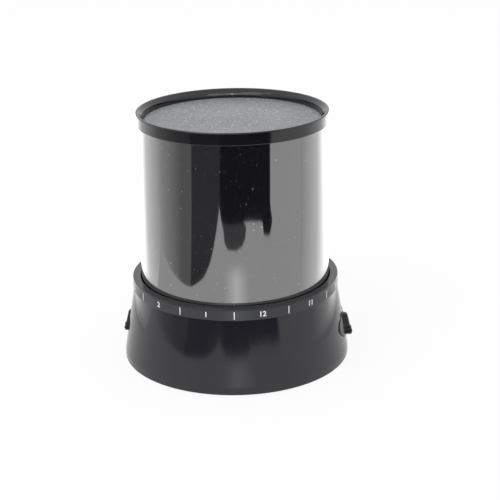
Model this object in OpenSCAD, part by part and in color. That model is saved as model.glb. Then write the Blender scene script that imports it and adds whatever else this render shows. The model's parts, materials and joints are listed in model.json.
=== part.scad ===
// Table-top star projector: a conical base with three push buttons carries a turning star
// dome over four lamps, and a tall smoked cover drops over the dome.
// Millimetres, +Z up, origin on the table under the middle of the base, front at -Y.

/* [Base] */
// Diameter of the base at its bottom edge
base_d = 115; // [110:0.5:125]
// Diameter of the base where the cone ends
cone_top_d = 103.3; // [102.5:0.1:108]
// Height of the base housing without its feet
base_h = 42.2; // [40:0.1:50]
// Height of the collar that carries the month strip
collar_h = 5.9; // [5:0.1:7]
// Diameter of the collar under the month strip
collar_d = 103.6; // [103.5:0.1:108]
// Height of the near-vertical lip at the bottom edge
lip_h = 3.4; // [2:0.1:5]
// Draft of that lip, per side
lip_draft = 0.2; // [0:0.05:0.5]
// Wall of the base mouldings
wall = 2; // [1.6:0.1:2.4]
// Thickness of the deck inside the recess
deck_t = 2; // [1.6:0.1:3]
// Depth of the recess that takes the foot of the cover
recess_depth = 9.2; // [7:0.1:11]
// Rounding of the shoulder's outer edge
shoulder_round = 0.7; // [0.3:0.1:1]
// How far the feet stand proud of the housing
foot_proud = 0.8; // [0.5:0.1:2]

/* [Month strip] */
// Thickness of the printed strip
strip_t = 0.25; // [0.15:0.05:0.4]
// Height of the printed strip
strip_h = 5.1; // [4:0.1:5.4]
// Angle over which the ends of the strip overlap
strip_overlap = 6; // [3:1:12]

/* [Cover] */
// Outer diameter of the cover at the shoulder of the base
cover_foot_d = 95.3; // [90:0.1:96]
// Outer diameter of the cover shell under the rim
cover_top_d = 91.2; // [88:0.1:94]
// Height from the shoulder of the base to the underside of the rim
cover_h = 78.3; // [70:0.1:95]
// Wall of the cover shell
cover_wall = 1.6; // [1.2:0.1:2]
// Gap between the foot of the cover and the recess wall, per side
cover_gap = 0.4; // [0.3:0.05:0.8]
// Outer diameter of the rim at its underside
rim_foot_d = 94.14; // [93.5:0.1:96]
// Largest outer diameter of the rim
rim_d = 94.62; // [94.2:0.1:97]
// Height of the rim
rim_h = 6.1; // [5.5:0.1:8]
// Rounding of the rim's top edge
rim_round = 1.2; // [0.6:0.1:1.4]
// Length of the spigot that enters the shell
spigot_h = 4; // [2:0.5:8]
// Wall of that spigot
spigot_wall = 1.2; // [1:0.1:2]
// Diameter of the top disc
disc_d = 89.8; // [86:0.1:90]
// Thickness of the top disc
disc_t = 0.8; // [0.5:0.1:1]
// Depth of the top disc below the rim's top
disc_sink = 4.4; // [3:0.1:4.6]

/* [Star dome] */
// Outer diameter of the star dome
dome_d = 80; // [70:0.5:82]
// Wall of the star dome
dome_wall = 1.4; // [1:0.1:2]
// Height of the dome's straight part above its ring
dome_straight = 25; // [15:0.5:30]
// Width of the ring's flange beyond the dome
ring_flange = 3.6; // [3:0.1:4]
// Thickness of the ring's flange
ring_flange_t = 1.6; // [1.2:0.1:2]
// Wall of the ring's sleeve round the dome
ring_sleeve_wall = 1.4; // [1:0.1:1.5]
// Height of that sleeve above the flange
ring_sleeve_h = 5; // [3:0.5:8]
// Number of clips that hold the ring down
clip_count = 3; // [3:1:4]
// Angle that each clip spans
clip_angle = 16; // [10:1:24]
// Thickness of each clip's hook
clip_t = 1.2; // [1:0.1:1.5]

/* [Buttons] */
// Width of the button's shield where it is widest
button_w = 30; // [26:0.5:30]
// Width of the shield's straight top edge
button_top_w = 15; // [12:0.5:18]
// Height of the button
button_h = 11.6; // [10.5:0.1:12.4]
// Height of the button's pointed lower end above the housing's bottom edge
button_z = 8.6; // [8:0.1:9]
// Share of the button's height below its widest place
button_wide_share = 0.66; // [0.55:0.01:0.75]
// How far the released shield stands out of the wall
shield_proud = 0.5; // [0.3:0.1:0.9]
// How far the nose stands out of the wall at its lower end
nose_proud_low = 3.3; // [2.6:0.1:4]
// How far the nose stands out of the wall at its upper end
nose_proud_high = 2.5; // [2:0.1:3.6]
// Width of the nose at its root
nose_w = 8; // [6:0.5:10]
// Width of the nose along its crest
nose_crest_w = 2.6; // [2:0.1:3.4]
// Travel of each button
button_travel = 1.2; // [1:0.1:1.8]
// Gap between a button and its window
button_gap = 0.3; // [0.2:0.05:0.5]
// Width of the lip that keeps a button behind its window
button_lip = 1.2; // [1:0.1:1.5]
// Wall of the button moulding
button_wall = 1.6; // [1.2:0.1:2]
// How far each grip ridge stands out of the nose
ridge_proud = 0.45; // [0.3:0.05:0.6]
// Height of each grip ridge
ridge_h = 0.8; // [0.6:0.1:1]

/* [Switches] */
// Side of the square switch body
switch_w = 8.5; // [7:0.1:9]
// Length of the switch body
switch_l = 12; // [10:0.5:13]
// Distance from the inside of the wall back to the switch's front face
switch_setback = 9.8; // [9:0.1:10.5]
// Diameter of the switch plunger
plunger_d = 3; // [2.4:0.1:3.4]
// Depth of the plunger inside the switch when released
plunger_in = 8; // [5:0.5:8.5]

/* [Power] */
// Number of cells
cell_count = 3; // [2:1:3]
// Diameter of a cell
cell_d = 10.5; // [10:0.1:10.5]
// Length of a cell with its nub
cell_l = 44.5; // [43:0.1:45]
// Gap between neighbouring cells
cell_gap = 1.3; // [1:0.1:1.6]
// Room for the springs at the cells' negative end
spring_room = 4.5; // [3.5:0.1:5]
// Wall of the battery bay
bay_wall = 1.5; // [1.2:0.1:1.8]
// Thickness of the base plate
plate_t = 2.2; // [2:0.1:3]
// How far the base plate lies above the housing's bottom edge
plate_sink = 0.4; // [0:0.1:0.8]
// Thickness of the battery door
door_t = 1.6; // [1.2:0.1:1.8]
// Diameter of the jack's socket
jack_bore_d = 6.3; // [5.8:0.1:6.5]
// Diameter of the jack's centre pin
jack_pin_d = 2; // [1.6:0.05:2.1]
// Angle of the jack from the front, counter-clockwise from above
jack_angle = 151; // [150:0.5:152]

/* [Lamps] */
// Diameter of the light turret at its foot
turret_d = 25; // [22:0.5:28]
// Diameter of the light turret at its top
turret_top_d = 20; // [19:0.5:22]
// Height of the light turret above the deck
turret_h = 18; // [12:0.5:24]
// Wall of the light turret
turret_wall = 1.5; // [1.2:0.1:2]
// Diameter of a lamp
lamp_d = 5; // [4.6:0.1:5.2]
// Height of a lamp above its board
lamp_h = 8.6; // [7:0.1:9]
// Distance of the lamps from the middle of the board
lamp_ring_r = 4.6; // [4.4:0.1:5]

/* [Fasteners and feet] */
// Distance of the plate screws from the wall of the recess
screw_inset = 5; // [5:0.1:7]
// Shank diameter of the plate screws
screw_d = 2.6; // [2.2:0.1:3]
// Head diameter of the plate screws
screw_head_d = 5.2; // [4.6:0.1:5.4]
// Diameter of a rubber foot
foot_d = 9; // [7:0.5:10]
// Thickness of a rubber foot
foot_t = 2; // [1.8:0.1:2.2]
// Distance of the feet's middle from the base's edge
foot_inset = 10; // [8:0.1:11]
// Diameter of an insulated lead
lead_d = 1.2; // [0.8:0.1:1.4]

/* [Hidden] */
$fn = 96;
eps = 0.01;
slip = 0.05;          // glue or press fit, per side
loose = 0.3;          // gap between pieces of different bodies
running = 0.08;       // radial play of a shaft in its bore

// radii and heights of the base, from the housing's bottom edge
base_r = base_d / 2;
lip_r = base_r - lip_draft;
cone_top_r = cone_top_d / 2;
cone_h = base_h - collar_h;
cone_slope = (lip_r - cone_top_r) / (cone_h - lip_h);
collar_r = collar_d / 2;
cover_foot_r = cover_foot_d / 2;
recess_r = cover_foot_r + cover_gap;
deck_z = base_h - recess_depth;
ceiling_z = deck_z - deck_t;
plate_top = plate_sink + plate_t;
foot_ring_r = base_r - foot_inset;
screw_ring_r = recess_r - screw_inset;
post_r = 3.6;
ledge_in_r = recess_r - screw_inset + post_r + 0.2;
ledge_h = 1.5;
seam_angle = 4.4;     // where the ends of the strip meet, right of the front

function wall_r(z) = lip_r - cone_slope * (z - lip_h);
function inner_r(z) = wall_r(z) - wall;

// cover
cover_top_r = cover_top_d / 2;
cover_foot_z = deck_z + loose;
rim_z = base_h + cover_h;
rim_top = rim_z + rim_h;
disc_r = disc_d / 2;
disc_top = rim_top - disc_sink;
disc_z = disc_top - disc_t;
spigot_z = rim_z - spigot_h;
cover_slope = (cover_foot_r - cover_top_r) / cover_h;
spigot_r = cover_top_r - cover_wall - slip;

// star dome
dome_r = dome_d / 2;
ring_z = deck_z + loose;
ring_r = dome_r + ring_flange;
sleeve_in_r = dome_r + slip;
sleeve_r = sleeve_in_r + ring_sleeve_wall;
dome_z = ring_z + ring_flange_t;
dome_centre_z = dome_z + dome_straight;
clip_in_r = sleeve_r + 3 * loose;
clip_wall_r = ring_r + loose;
clip_r = clip_wall_r + clip_t;
clip_z = ring_z + ring_flange_t + loose;
slot_depth = 1.3;
seat_depth = 0.6;

// buttons, in a frame whose +X is the outward direction of the button
button_wide_z = button_z + button_wide_share * button_h;
button_top_z = button_z + button_h;
switch_z = button_z + button_h / 2;
switch_front_r = inner_r(switch_z) - switch_setback;
lip_t = 1.4;
skirt_in_r = inner_r(button_top_z) - lip_t - 2;
window_in_r = skirt_in_r - 2;
shield_steps = 24;
shield_power = 1.25;  // over 1 draws the shield's lower half to a point
nose_round = 0.5;
ridge_z = [button_z + 1.9, button_z + 3.8];
plunger_grip = 3;
boss_wall = 1.5;
button_angles = [-90, 90, 180];
left = button_angles[0];
right = button_angles[1];
rear = button_angles[2];

// power
cell_pitch = cell_d + cell_gap;
bay_l = cell_l + spring_room + 1;
bay_w = cell_count * cell_pitch + 0.6;
door_z = plate_sink;
cell_z = plate_top + 0.4 + cell_d / 2;
bay_top = cell_z + cell_d / 2 + 0.4;
door_tab = 8;
door_l = bay_l - 2;
door_w = bay_w - 2;
door_screw_x = bay_l / 2 + bay_wall + 3.6;
door_screw_d = 2;
door_screw_head_d = 3.8;
door_screw_l = 7;
door_post_r = 3;
door_post_top = switch_z - switch_w / 2 - 0.5;
cell_x = (spring_room - 1) / 2;
jack_w = 9;
jack_h = 10;
jack_l = 13;
jack_z = 14;
jack_face_r = inner_r(jack_z + jack_h / 2) - 1;
jack_hole_d = jack_bore_d + 2.4;

// boards
board_t = 1.6;
main_board_l = 48;
main_board_w = 38;
board_post_h = 4;
main_board_top = ceiling_z - board_post_h;
main_board_z = main_board_top - board_t;
board_screw_x = main_board_l / 2 - 4;
board_screw_y = main_board_w / 2 - 4;
capacitor_h = 7;
light_board_z = deck_z + turret_h - 2.6;
light_board_r = turret_top_d / 2 - turret_wall - 0.15;
turret_screw_r = turret_d / 2 - turret_wall - 2.6;
lead_hole_r = 5.2;
lead_steps = 8;

// ---------------------------------------------------------------- helpers

// Everything stands on the feet.
module on_feet() {
    translate([0, 0, foot_proud]) children();
}

// Turns the front (-Y) to an angle counted counter-clockwise from above; +X becomes outward.
module facing(angle) {
    rotate([0, 0, angle - 90]) children();
}

function arc(centre, r, from, to, steps) = [for (i = [0:steps])
    let (a = from + (to - from) * i / steps) centre + r * [cos(a), sin(a)]];

// A ring with a rectangular section.
module ring(r_in, r_out, z, h) {
    translate([0, 0, z]) difference() {
        cylinder(h = h, r = r_out);
        translate([0, 0, -1]) cylinder(h = h + 2, r = r_in);
    }
}

function signed_power(x, n) = sign(x) * pow(abs(x), n);

// Outline of a button: pointed below, widest above its middle, with a straight top edge.
function shield(w, top_w, low, wide, high) = concat(
    [for (i = [0:shield_steps]) let (a = 180 - 180 * i / shield_steps)
        [w / 2 * signed_power(cos(a), shield_power), wide - (wide - low) * pow(sin(a), shield_power)]],
    [for (i = [1:8]) let (a = 90 * i / 8)
        [top_w / 2 + (w - top_w) / 2 * cos(a), wide + (high - wide) * sin(a)]],
    [for (i = [0:7]) let (a = 90 + 90 * i / 8)
        [-top_w / 2 + (w - top_w) / 2 * cos(a), wide + (high - wide) * sin(a)]]);

// The outline, grown by a margin, as a bar along +X from one radius to another.
module shield_bar(grow, from, to) {
    translate([from, 0, 0]) rotate([90, 0, 90]) linear_extrude(to - from)
        polygon(shield(button_w + 2 * grow, button_top_w + grow, button_z - grow, button_wide_z,
            button_top_z + grow));
}

// Everything inside a cone that lies a margin outside the housing's wall.
module inside_wall(margin, from_z, to_z) {
    rotate_extrude($fn = 180) polygon([[0, from_z], [wall_r(from_z) + margin, from_z],
        [wall_r(to_z) + margin, to_z], [0, to_z]]);
}

function unit(v) = v / norm(v);
function cut_corners(p) = concat([p[0]],
    [for (i = [0:len(p) - 2]) each
        [0.75 * p[i] + 0.25 * p[i + 1], 0.25 * p[i] + 0.75 * p[i + 1]]],
    [p[len(p) - 1]]);
function tangent(p, i) = i == 0 ? unit(p[1] - p[0])
    : i == len(p) - 1 ? unit(p[i] - p[i - 1]) : unit(p[i + 1] - p[i - 1]);
function side_of(t) = abs(t.z) > 0.9 ? unit(cross(t, [1, 0, 0])) : unit(cross(t, [0, 0, 1]));
// Carries one side vector along a path without twist.
function carried(p, i) = i == 0 ? side_of(tangent(p, 0))
    : let (before = carried(p, i - 1), t = tangent(p, i)) unit(before - (before * t) * t);

// A round tube along a path of points.
module tube(p, d, sides) {
    rings = len(p);
    points = [for (i = [0:rings - 1])
        let (t = tangent(p, i), u = carried(p, i), v = cross(t, u))
        for (k = [0:sides - 1]) p[i] + d / 2 * (cos(360 * k / sides) * u + sin(360 * k / sides) * v)];
    faces = concat([[for (k = [0:sides - 1]) sides - 1 - k]],
        [for (i = [0:rings - 2], k = [0:sides - 1]) let (n = (k + 1) % sides) each
            [[i * sides + k, i * sides + n, (i + 1) * sides + n],
             [i * sides + k, (i + 1) * sides + n, (i + 1) * sides + k]]],
        [[for (k = [0:sides - 1]) (rings - 1) * sides + k]]);
    polyhedron(points, faces, convexity = 6);
}

module lead(p) {
    tube(cut_corners(cut_corners(p)), lead_d, 6);
}

// A self-tapping screw that points up, its head's underside at z = 0.
module screw(shank_d, head_d, length) {
    head_h = head_d * 0.35;
    difference() {
        union() {
            translate([0, 0, -head_h]) cylinder(h = head_h, r = head_d / 2);
            cylinder(h = length - shank_d, r = shank_d / 2);
            translate([0, 0, length - shank_d]) cylinder(h = shank_d, r1 = shank_d / 2, r2 = 0.3);
        }
        for (a = [0, 90]) rotate([0, 0, a])
            translate([-head_d * 0.32, -0.3, -head_h - 1]) cube([head_d * 0.64, 0.6, 1.9]);
    }
}

// ---------------------------------------------------------------- base

module housing_profile() {
    difference() {
        polygon(concat(
            [[0, 0], [base_r, 0], [lip_r, lip_h], [cone_top_r, cone_h], [collar_r, cone_h],
                [collar_r, base_h - shoulder_round]],
            arc([collar_r - shoulder_round + strip_t, base_h - shoulder_round], shoulder_round, 0, 90, 8),
            [[0, base_h]]));
        // the recess for the deck and the cover's foot
        translate([0, ceiling_z]) square([recess_r, base_h]);
        // the hollow below, with the ledge that carries the deck
        polygon([[0, -1], [base_r - wall, -1], [base_r - wall, 0], [inner_r(lip_h), lip_h],
            [inner_r(ceiling_z - ledge_h), ceiling_z - ledge_h], [ledge_in_r, ceiling_z - ledge_h],
            [ledge_in_r, base_h], [0, base_h]]);
    }
}

module plate_screw_places() {
    for (a = [45:90:315]) rotate([0, 0, a]) translate([screw_ring_r, 0, 0]) children();
}

module board_screw_places() {
    for (x = [-board_screw_x, board_screw_x], y = [-board_screw_y, board_screw_y])
        translate([x, y, 0]) children();
}

module turret_screw_places() {
    for (x = [-turret_screw_r, turret_screw_r]) translate([x, 0, 0]) children();
}

module clip_places() {
    for (k = [0:clip_count - 1]) rotate([0, 0, 90 + k * 360 / clip_count]) children();
}

// A piece of a turned shape, centred on +X.
module sector(angle) {
    rotate([0, 0, -angle / 2]) rotate_extrude(angle = angle) children();
}

module base_housing() {
    color("#26262a") on_feet() difference() {
        union() {
            rotate_extrude($fn = 180) housing_profile();
            // the seat ring above the edge of the base plate
            ring(base_r - wall - 1.2, base_r - wall, plate_top + slip, 1);
        }
        for (a = button_angles) facing(a) shield_bar(button_gap, window_in_r, base_r + 1);
        facing(jack_angle) translate([jack_face_r - 2, 0, jack_z]) rotate([0, 90, 0])
            cylinder(h = wall + 12, r = jack_hole_d / 2);
    }
}

// The floor of the recess: it drops onto the housing's ledge and the plate screws pull it down.
module deck() {
    color("#2b2b2f") on_feet() difference() {
        union() {
            translate([0, 0, ceiling_z]) cylinder(h = deck_t, r = recess_r - slip, $fn = 180);
            plate_screw_places() translate([0, 0, plate_top + slip])
                cylinder(h = ceiling_z - plate_top, r = post_r);
            board_screw_places() translate([0, 0, main_board_top])
                cylinder(h = board_post_h + eps, r = 2.5);
        }
        // seat of the light turret and slots of the dome's clips
        translate([0, 0, deck_z - seat_depth]) cylinder(h = deck_t, r = turret_d / 2 + slip);
        clip_places() sector(clip_angle + 0.2) translate([clip_wall_r - slip, deck_z - slot_depth])
            square([clip_t + 2 * slip, deck_t]);
        plate_screw_places() translate([0, 0, plate_top])
            cylinder(h = 18, r = screw_d / 2 + running);
        board_screw_places() translate([0, 0, main_board_top - 1]) cylinder(h = 4.4, r = 1);
        turret_screw_places() translate([0, 0, ceiling_z - 1]) cylinder(h = deck_t + 2, r = 1.2);
        translate([0, 0, ceiling_z - 1]) cylinder(h = deck_t + 2, r = lead_hole_r);
    }
}

// Three hooks, pressed into the deck, that hold the turning ring of the dome down.
module dome_clips() {
    color("#2b2b2f") on_feet() clip_places() sector(clip_angle) polygon([
        [clip_wall_r, deck_z - slot_depth + slip], [clip_r, deck_z - slot_depth + slip],
        [clip_r, clip_z + clip_t], [clip_in_r, clip_z + clip_t], [clip_in_r, clip_z],
        [clip_wall_r, clip_z]]);
}

module month_strip() {
    strip_z = cone_h + (collar_h - shoulder_round - strip_h) / 2;
    strip_r = collar_r + strip_t;
    color("#3a3a3e") on_feet() union() {
        ring(collar_r + 0.02, strip_r, strip_z, strip_h, $fn = 180);
        rotate([0, 0, seam_angle - 90]) rotate_extrude(angle = strip_overlap)
            translate([strip_r - eps, strip_z]) square([strip_t + eps, strip_h]);
    }
}

module base_plate() {
    foot_seat_z = foot_t - foot_proud;
    color("#1f1f22") on_feet() difference() {
        union() {
            translate([0, 0, plate_sink]) cylinder(h = plate_t, r = base_r - wall - 0.25);
            bay_shell();
            for (x = [-door_screw_x, door_screw_x]) translate([x, 0, plate_sink])
                cylinder(h = door_post_top - plate_sink, r = door_post_r);
            for (a = button_angles) facing(a) switch_cradle();
            facing(jack_angle) jack_cradle();
        }
        bay_cut();
        door_cut();
        plate_screw_places() {
            translate([0, 0, plate_sink - 1]) cylinder(h = plate_t + 2, r = screw_d / 2 + 0.15);
            translate([0, 0, plate_sink - 1]) cylinder(h = 1 + 1.1, r = screw_head_d / 2 + 0.2);
        }
        for (a = [0:90:270]) rotate([0, 0, a]) translate([foot_ring_r, 0, plate_sink - 1])
            cylinder(h = foot_seat_z - plate_sink + 1, r = foot_d / 2 + slip);
    }
}

module bay_shell() {
    translate([-bay_l / 2 - bay_wall, -bay_w / 2 - bay_wall, plate_sink])
        cube([bay_l + 2 * bay_wall, bay_w + 2 * bay_wall, bay_top + bay_wall - plate_sink]);
}

// Room for the cells, one trough each, with ribs between them.
module bay_cut() {
    rib = cell_gap - 0.6;
    difference() {
        translate([-bay_l / 2, -bay_w / 2, plate_sink - 1])
            cube([bay_l, bay_w, bay_top - plate_sink + 1]);
        for (k = [1:cell_count - 1])
            translate([-bay_l / 2 - 1, (k - cell_count / 2) * cell_pitch - rib / 2, cell_z + 1])
                cube([bay_l + 2, rib, cell_d]);
    }
}

// The door's panel and its two screw tabs.
module door_outline(grow) {
    square([door_l + 2 * grow, door_w + 2 * grow], center = true);
    square([2 * (door_screw_x + 3.4 + grow), door_tab + 2 * grow], center = true);
}

module door_cut() {
    translate([0, 0, plate_sink - 1]) linear_extrude(door_t + 1 + 0.1) door_outline(loose);
    for (x = [-door_screw_x, door_screw_x]) translate([x, 0, plate_sink])
        cylinder(h = door_post_top - 0.7 - plate_sink, r = door_screw_d / 2 + running);
}

module battery_door() {
    color("#242428") on_feet() translate([0, 0, door_z]) difference() {
        union() {
            linear_extrude(door_t) door_outline(0);
            // pads that keep the cells in their troughs
            for (x = [-12, 12]) translate([x - 1, -door_w / 2 + 2, door_t - eps])
                cube([2, door_w - 4, plate_top - door_z - door_t + 0.1]);
        }
        for (x = [-door_screw_x, door_screw_x]) translate([x, 0, 0]) {
            translate([0, 0, -1]) cylinder(h = door_t + 2, r = door_screw_d / 2 + slip);
            translate([0, 0, -1]) cylinder(h = 1.9, r = door_screw_head_d / 2 + slip);
        }
        // grip grooves
        for (x = [-4:2:4]) translate([x, -8, -1]) cube([0.8, 16, 1.4]);
    }
}

module door_screws() {
    color("#b9bcc0") on_feet() for (x = [-door_screw_x, door_screw_x])
        translate([x, 0, door_z + 0.9]) screw_low(door_screw_d, door_screw_head_d, door_screw_l);
}

// A thin-headed screw for the door.
module screw_low(shank_d, head_d, length) {
    difference() {
        union() {
            translate([0, 0, -0.8]) cylinder(h = 0.8, r = head_d / 2);
            cylinder(h = length, r = shank_d / 2);
        }
        for (a = [0, 90]) rotate([0, 0, a])
            translate([-head_d * 0.32, -0.25, -1.8]) cube([head_d * 0.64, 0.5, 1.5]);
    }
}

module base_screws() {
    color("#8d9096") on_feet() plate_screw_places() translate([0, 0, plate_sink + 1.1])
        screw_plate();
}

module screw_plate() {
    head_h = 1;
    difference() {
        union() {
            translate([0, 0, -head_h]) cylinder(h = head_h, r = screw_head_d / 2);
            cylinder(h = 12, r = screw_d / 2);
            translate([0, 0, 12 - eps]) cylinder(h = screw_d, r1 = screw_d / 2, r2 = 0.3);
        }
        for (a = [0, 90]) rotate([0, 0, a])
            translate([-screw_head_d * 0.32, -0.3, -head_h - 1]) cube([screw_head_d * 0.64, 0.6, 1.6]);
    }
}

module rubber_feet() {
    color("#151516") for (a = [0:90:270]) rotate([0, 0, a]) translate([foot_ring_r, 0, 0]) {
        cylinder(h = foot_t, r = foot_d / 2);
    }
}

// ---------------------------------------------------------------- power

function cell_y(k) = (k - (cell_count + 1) / 2) * cell_pitch;
// Neighbouring cells lie head to tail.
function cell_turn(k) = k % 2 == 0 ? 180 : 0;

module cell_frame(k) {
    on_feet() translate([0, cell_y(k), cell_z]) rotate([0, 0, cell_turn(k)]) children();
}

module battery(k) {
    nub_h = 1;
    color("#2f6f4a") cell_frame(k) translate([cell_x - cell_l / 2, 0, 0]) rotate([0, 90, 0]) {
        cylinder(h = cell_l - nub_h, r = cell_d / 2);
        translate([0, 0, cell_l - nub_h - eps]) cylinder(h = nub_h + eps, r = 1.9);
    }
}
module battery_1() battery(1);
module battery_2() battery(2);
module battery_3() battery(3);

// Plates at the ends of the bay; t is their thickness.
module contact_plate(x, t) {
    translate([x, -cell_d * 0.42, -cell_d * 0.42]) cube([t, cell_d * 0.84, cell_d * 0.84]);
}

module positive_contacts() {
    color("#c9ccd0") for (k = [1:cell_count]) cell_frame(k)
        contact_plate(cell_x + cell_l / 2 + slip, 0.4);
}

module negative_contacts() {
    color("#c9ccd0") for (k = [1:cell_count]) cell_frame(k)
        contact_plate(-bay_l / 2 + slip, 0.4);
}

// A conical coil from the plate to the cell's flat end.
function coil(r0, r1, x0, x1, turns, steps) = [for (i = [0:turns * steps])
    let (s = i / (turns * steps), a = 360 * i / steps, r = r0 + (r1 - r0) * s)
    [x0 + (x1 - x0) * s, r * cos(a), r * sin(a)]];

module contact_springs() {
    spring_wire = 0.5;
    start_x = -bay_l / 2 + slip + 0.4 + spring_wire / 2;
    end_x = cell_x - cell_l / 2 - spring_wire / 2;
    color("#d4d6d9") for (k = [1:cell_count]) cell_frame(k)
        tube(coil(3.8, 2.2, start_x, end_x, 3, 12), spring_wire, 6);
}

// A fork on the plate that holds the jack's body from below.
module jack_cradle() {
    for (y = [-jack_w / 2 - 1.3, jack_w / 2 + 0.1]) translate([jack_face_r - jack_l + 1, y, plate_sink])
        cube([jack_l - 3, 1.2, jack_z - plate_sink]);
    translate([jack_face_r - jack_l + 1, -jack_w / 2 - 1.3, plate_sink])
        cube([jack_l - 3, jack_w + 2.6, jack_z - jack_h / 2 - plate_sink - slip]);
}

module dc_jack() {
    color("#1a1a1c") on_feet() facing(jack_angle) difference() {
        translate([jack_face_r - jack_l, -jack_w / 2, jack_z - jack_h / 2])
            cube([jack_l, jack_w, jack_h]);
        translate([jack_face_r - 10, 0, jack_z]) rotate([0, 90, 0])
            cylinder(h = 11, r = jack_bore_d / 2);
        translate([jack_face_r - jack_l - 1, 0, jack_z]) rotate([0, 90, 0])
            cylinder(h = 5, r = jack_pin_d / 2 + slip);
    }
}

module dc_jack_pin() {
    color("#d8b45a") on_feet() facing(jack_angle) translate([jack_face_r - jack_l - 0.6, 0, jack_z])
        rotate([0, 90, 0]) cylinder(h = jack_l - 0.6, r = jack_pin_d / 2);
}

// ---------------------------------------------------------------- boards and lamps

module main_board() {
    color("#2e6b45") on_feet() difference() {
        translate([-main_board_l / 2, -main_board_w / 2, main_board_z])
            cube([main_board_l, main_board_w, board_t]);
        board_screw_places() translate([0, 0, main_board_z - 1]) cylinder(h = board_t + 2, r = 1.2);
    }
}

module board_screws() {
    color("#b9bcc0") on_feet() board_screw_places() translate([0, 0, main_board_z - slip])
        union() {
            translate([0, 0, -1]) cylinder(h = 1, r = 1.9);
            translate([0, 0, -eps]) cylinder(h = 4.4, r = 0.9);
        }
}

module driver_chip() {
    color("#202022") on_feet() translate([-3, -12, main_board_z - 1.6]) {
        cube([6, 4, 1.6]);
        for (x = [0.6:1.4:5], y = [-0.9, 4]) translate([x, y, 0.7]) cube([0.5, 0.9, 0.9]);
    }
}

module capacitor() {
    color("#3b3f8f") on_feet() translate([13, -8, main_board_z - capacitor_h])
        cylinder(h = capacitor_h, r = 2.5);
}

module resistors() {
    color("#d9c7a2") on_feet() for (k = [0:3]) translate([-16 + 3 * k, 6, main_board_z - 0.6])
        cube([1.6, 3.2, 0.6]);
}

module light_turret() {
    top_r = turret_top_d / 2;
    foot_z = deck_z - seat_depth;
    floor_z = deck_z + 3;
    color("#2b2b2f") on_feet() difference() {
        rotate_extrude() difference() {
            polygon([[0, foot_z], [turret_d / 2, foot_z], [turret_d / 2, deck_z + 2],
                [top_r, deck_z + 4], [top_r, deck_z + turret_h], [0, deck_z + turret_h]]);
            polygon([[0, floor_z], [top_r - turret_wall, floor_z],
                [top_r - turret_wall, deck_z + turret_h + 1], [0, deck_z + turret_h + 1]]);
        }
        translate([0, 0, foot_z - 1]) cylinder(h = 5, r = lead_hole_r);
        turret_screw_places() translate([0, 0, foot_z - 1]) cylinder(h = seat_depth + 3.4, r = 0.9);
    }
    // three ribs under the light board
    color("#2b2b2f") on_feet() for (a = [30:120:270]) rotate([0, 0, a])
        translate([top_r - turret_wall - 1.2, -0.6, floor_z - eps])
            cube([1.2 + eps, 1.2, light_board_z - floor_z - slip]);
}

module turret_screws() {
    color("#b9bcc0") on_feet() turret_screw_places() translate([0, 0, ceiling_z - slip]) union() {
        translate([0, 0, -1]) cylinder(h = 1, r = 1.9);
        translate([0, 0, -eps]) cylinder(h = deck_t + 2.2, r = 0.85);
    }
}

module light_board() {
    color("#e9e9e4") on_feet() translate([0, 0, light_board_z]) cylinder(h = board_t, r = light_board_r);
}

// A round-topped lamp with its flange and flat, on the light board.
module lamp(angle) {
    r = lamp_d / 2;
    on_feet() rotate([0, 0, angle]) translate([lamp_ring_r, 0, light_board_z + board_t + slip])
        rotate_extrude($fn = 32) polygon(concat([[0, 0], [r + 0.4, 0], [r + 0.4, 1], [r, 1]],
            arc([0, lamp_h - r], r, 0, 90, 8)));
}
module lamp_warm() { color("#f6e7b0") lamp(45); }
module lamp_red() { color("#e8b0ac") lamp(135); }
module lamp_green() { color("#b9e3b6") lamp(225); }
module lamp_blue() { color("#b4c6ee") lamp(315); }

// ---------------------------------------------------------------- buttons and switches

// The left and rear buttons are latched in, the right one is out.
function pressed(angle) = angle == right ? 0 : button_travel;

function nose_r(z) = wall_r(z) + nose_proud_low
    + (nose_proud_high - nose_proud_low) * (z - button_z) / button_h;

// The upright nose on the shield, wide at its root and narrow along its crest.
module nose() {
    low = button_z + 0.3;
    high = button_top_z - 0.3;
    half = nose_w / 2;
    crest = nose_crest_w / 2;
    hull() {
        // the root, given by heights and half widths
        for (p = [[low, crest], [low + 1.2, half], [high - 1.5, half], [high - 0.1, crest + 1]])
            translate([wall_r(p[0]) - 0.9, -p[1], p[0]]) cube([1.1, 2 * p[1], 0.1]);
        for (z = [low + nose_round, high - nose_round])
            translate([nose_r(z) - nose_round, crest, z]) rotate([90, 0, 0])
                cylinder(h = nose_crest_w, r = nose_round, $fn = 24);
    }
}

// One grip ridge across the nose at height z.
module ridge(z) {
    half = nose_w / 2;
    crest = nose_crest_w / 2 + ridge_proud;
    out = nose_r(z) + ridge_proud;
    translate([0, 0, z - ridge_h / 2]) linear_extrude(ridge_h)
        polygon([[wall_r(z) - 1, -half], [wall_r(z) + shield_proud, -half - ridge_proud],
            [out - nose_round, -crest], [out, -crest + nose_round], [out, crest - nose_round],
            [out - nose_round, crest], [wall_r(z) + shield_proud, half + ridge_proud],
            [wall_r(z) - 1, half]]);
}

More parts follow.
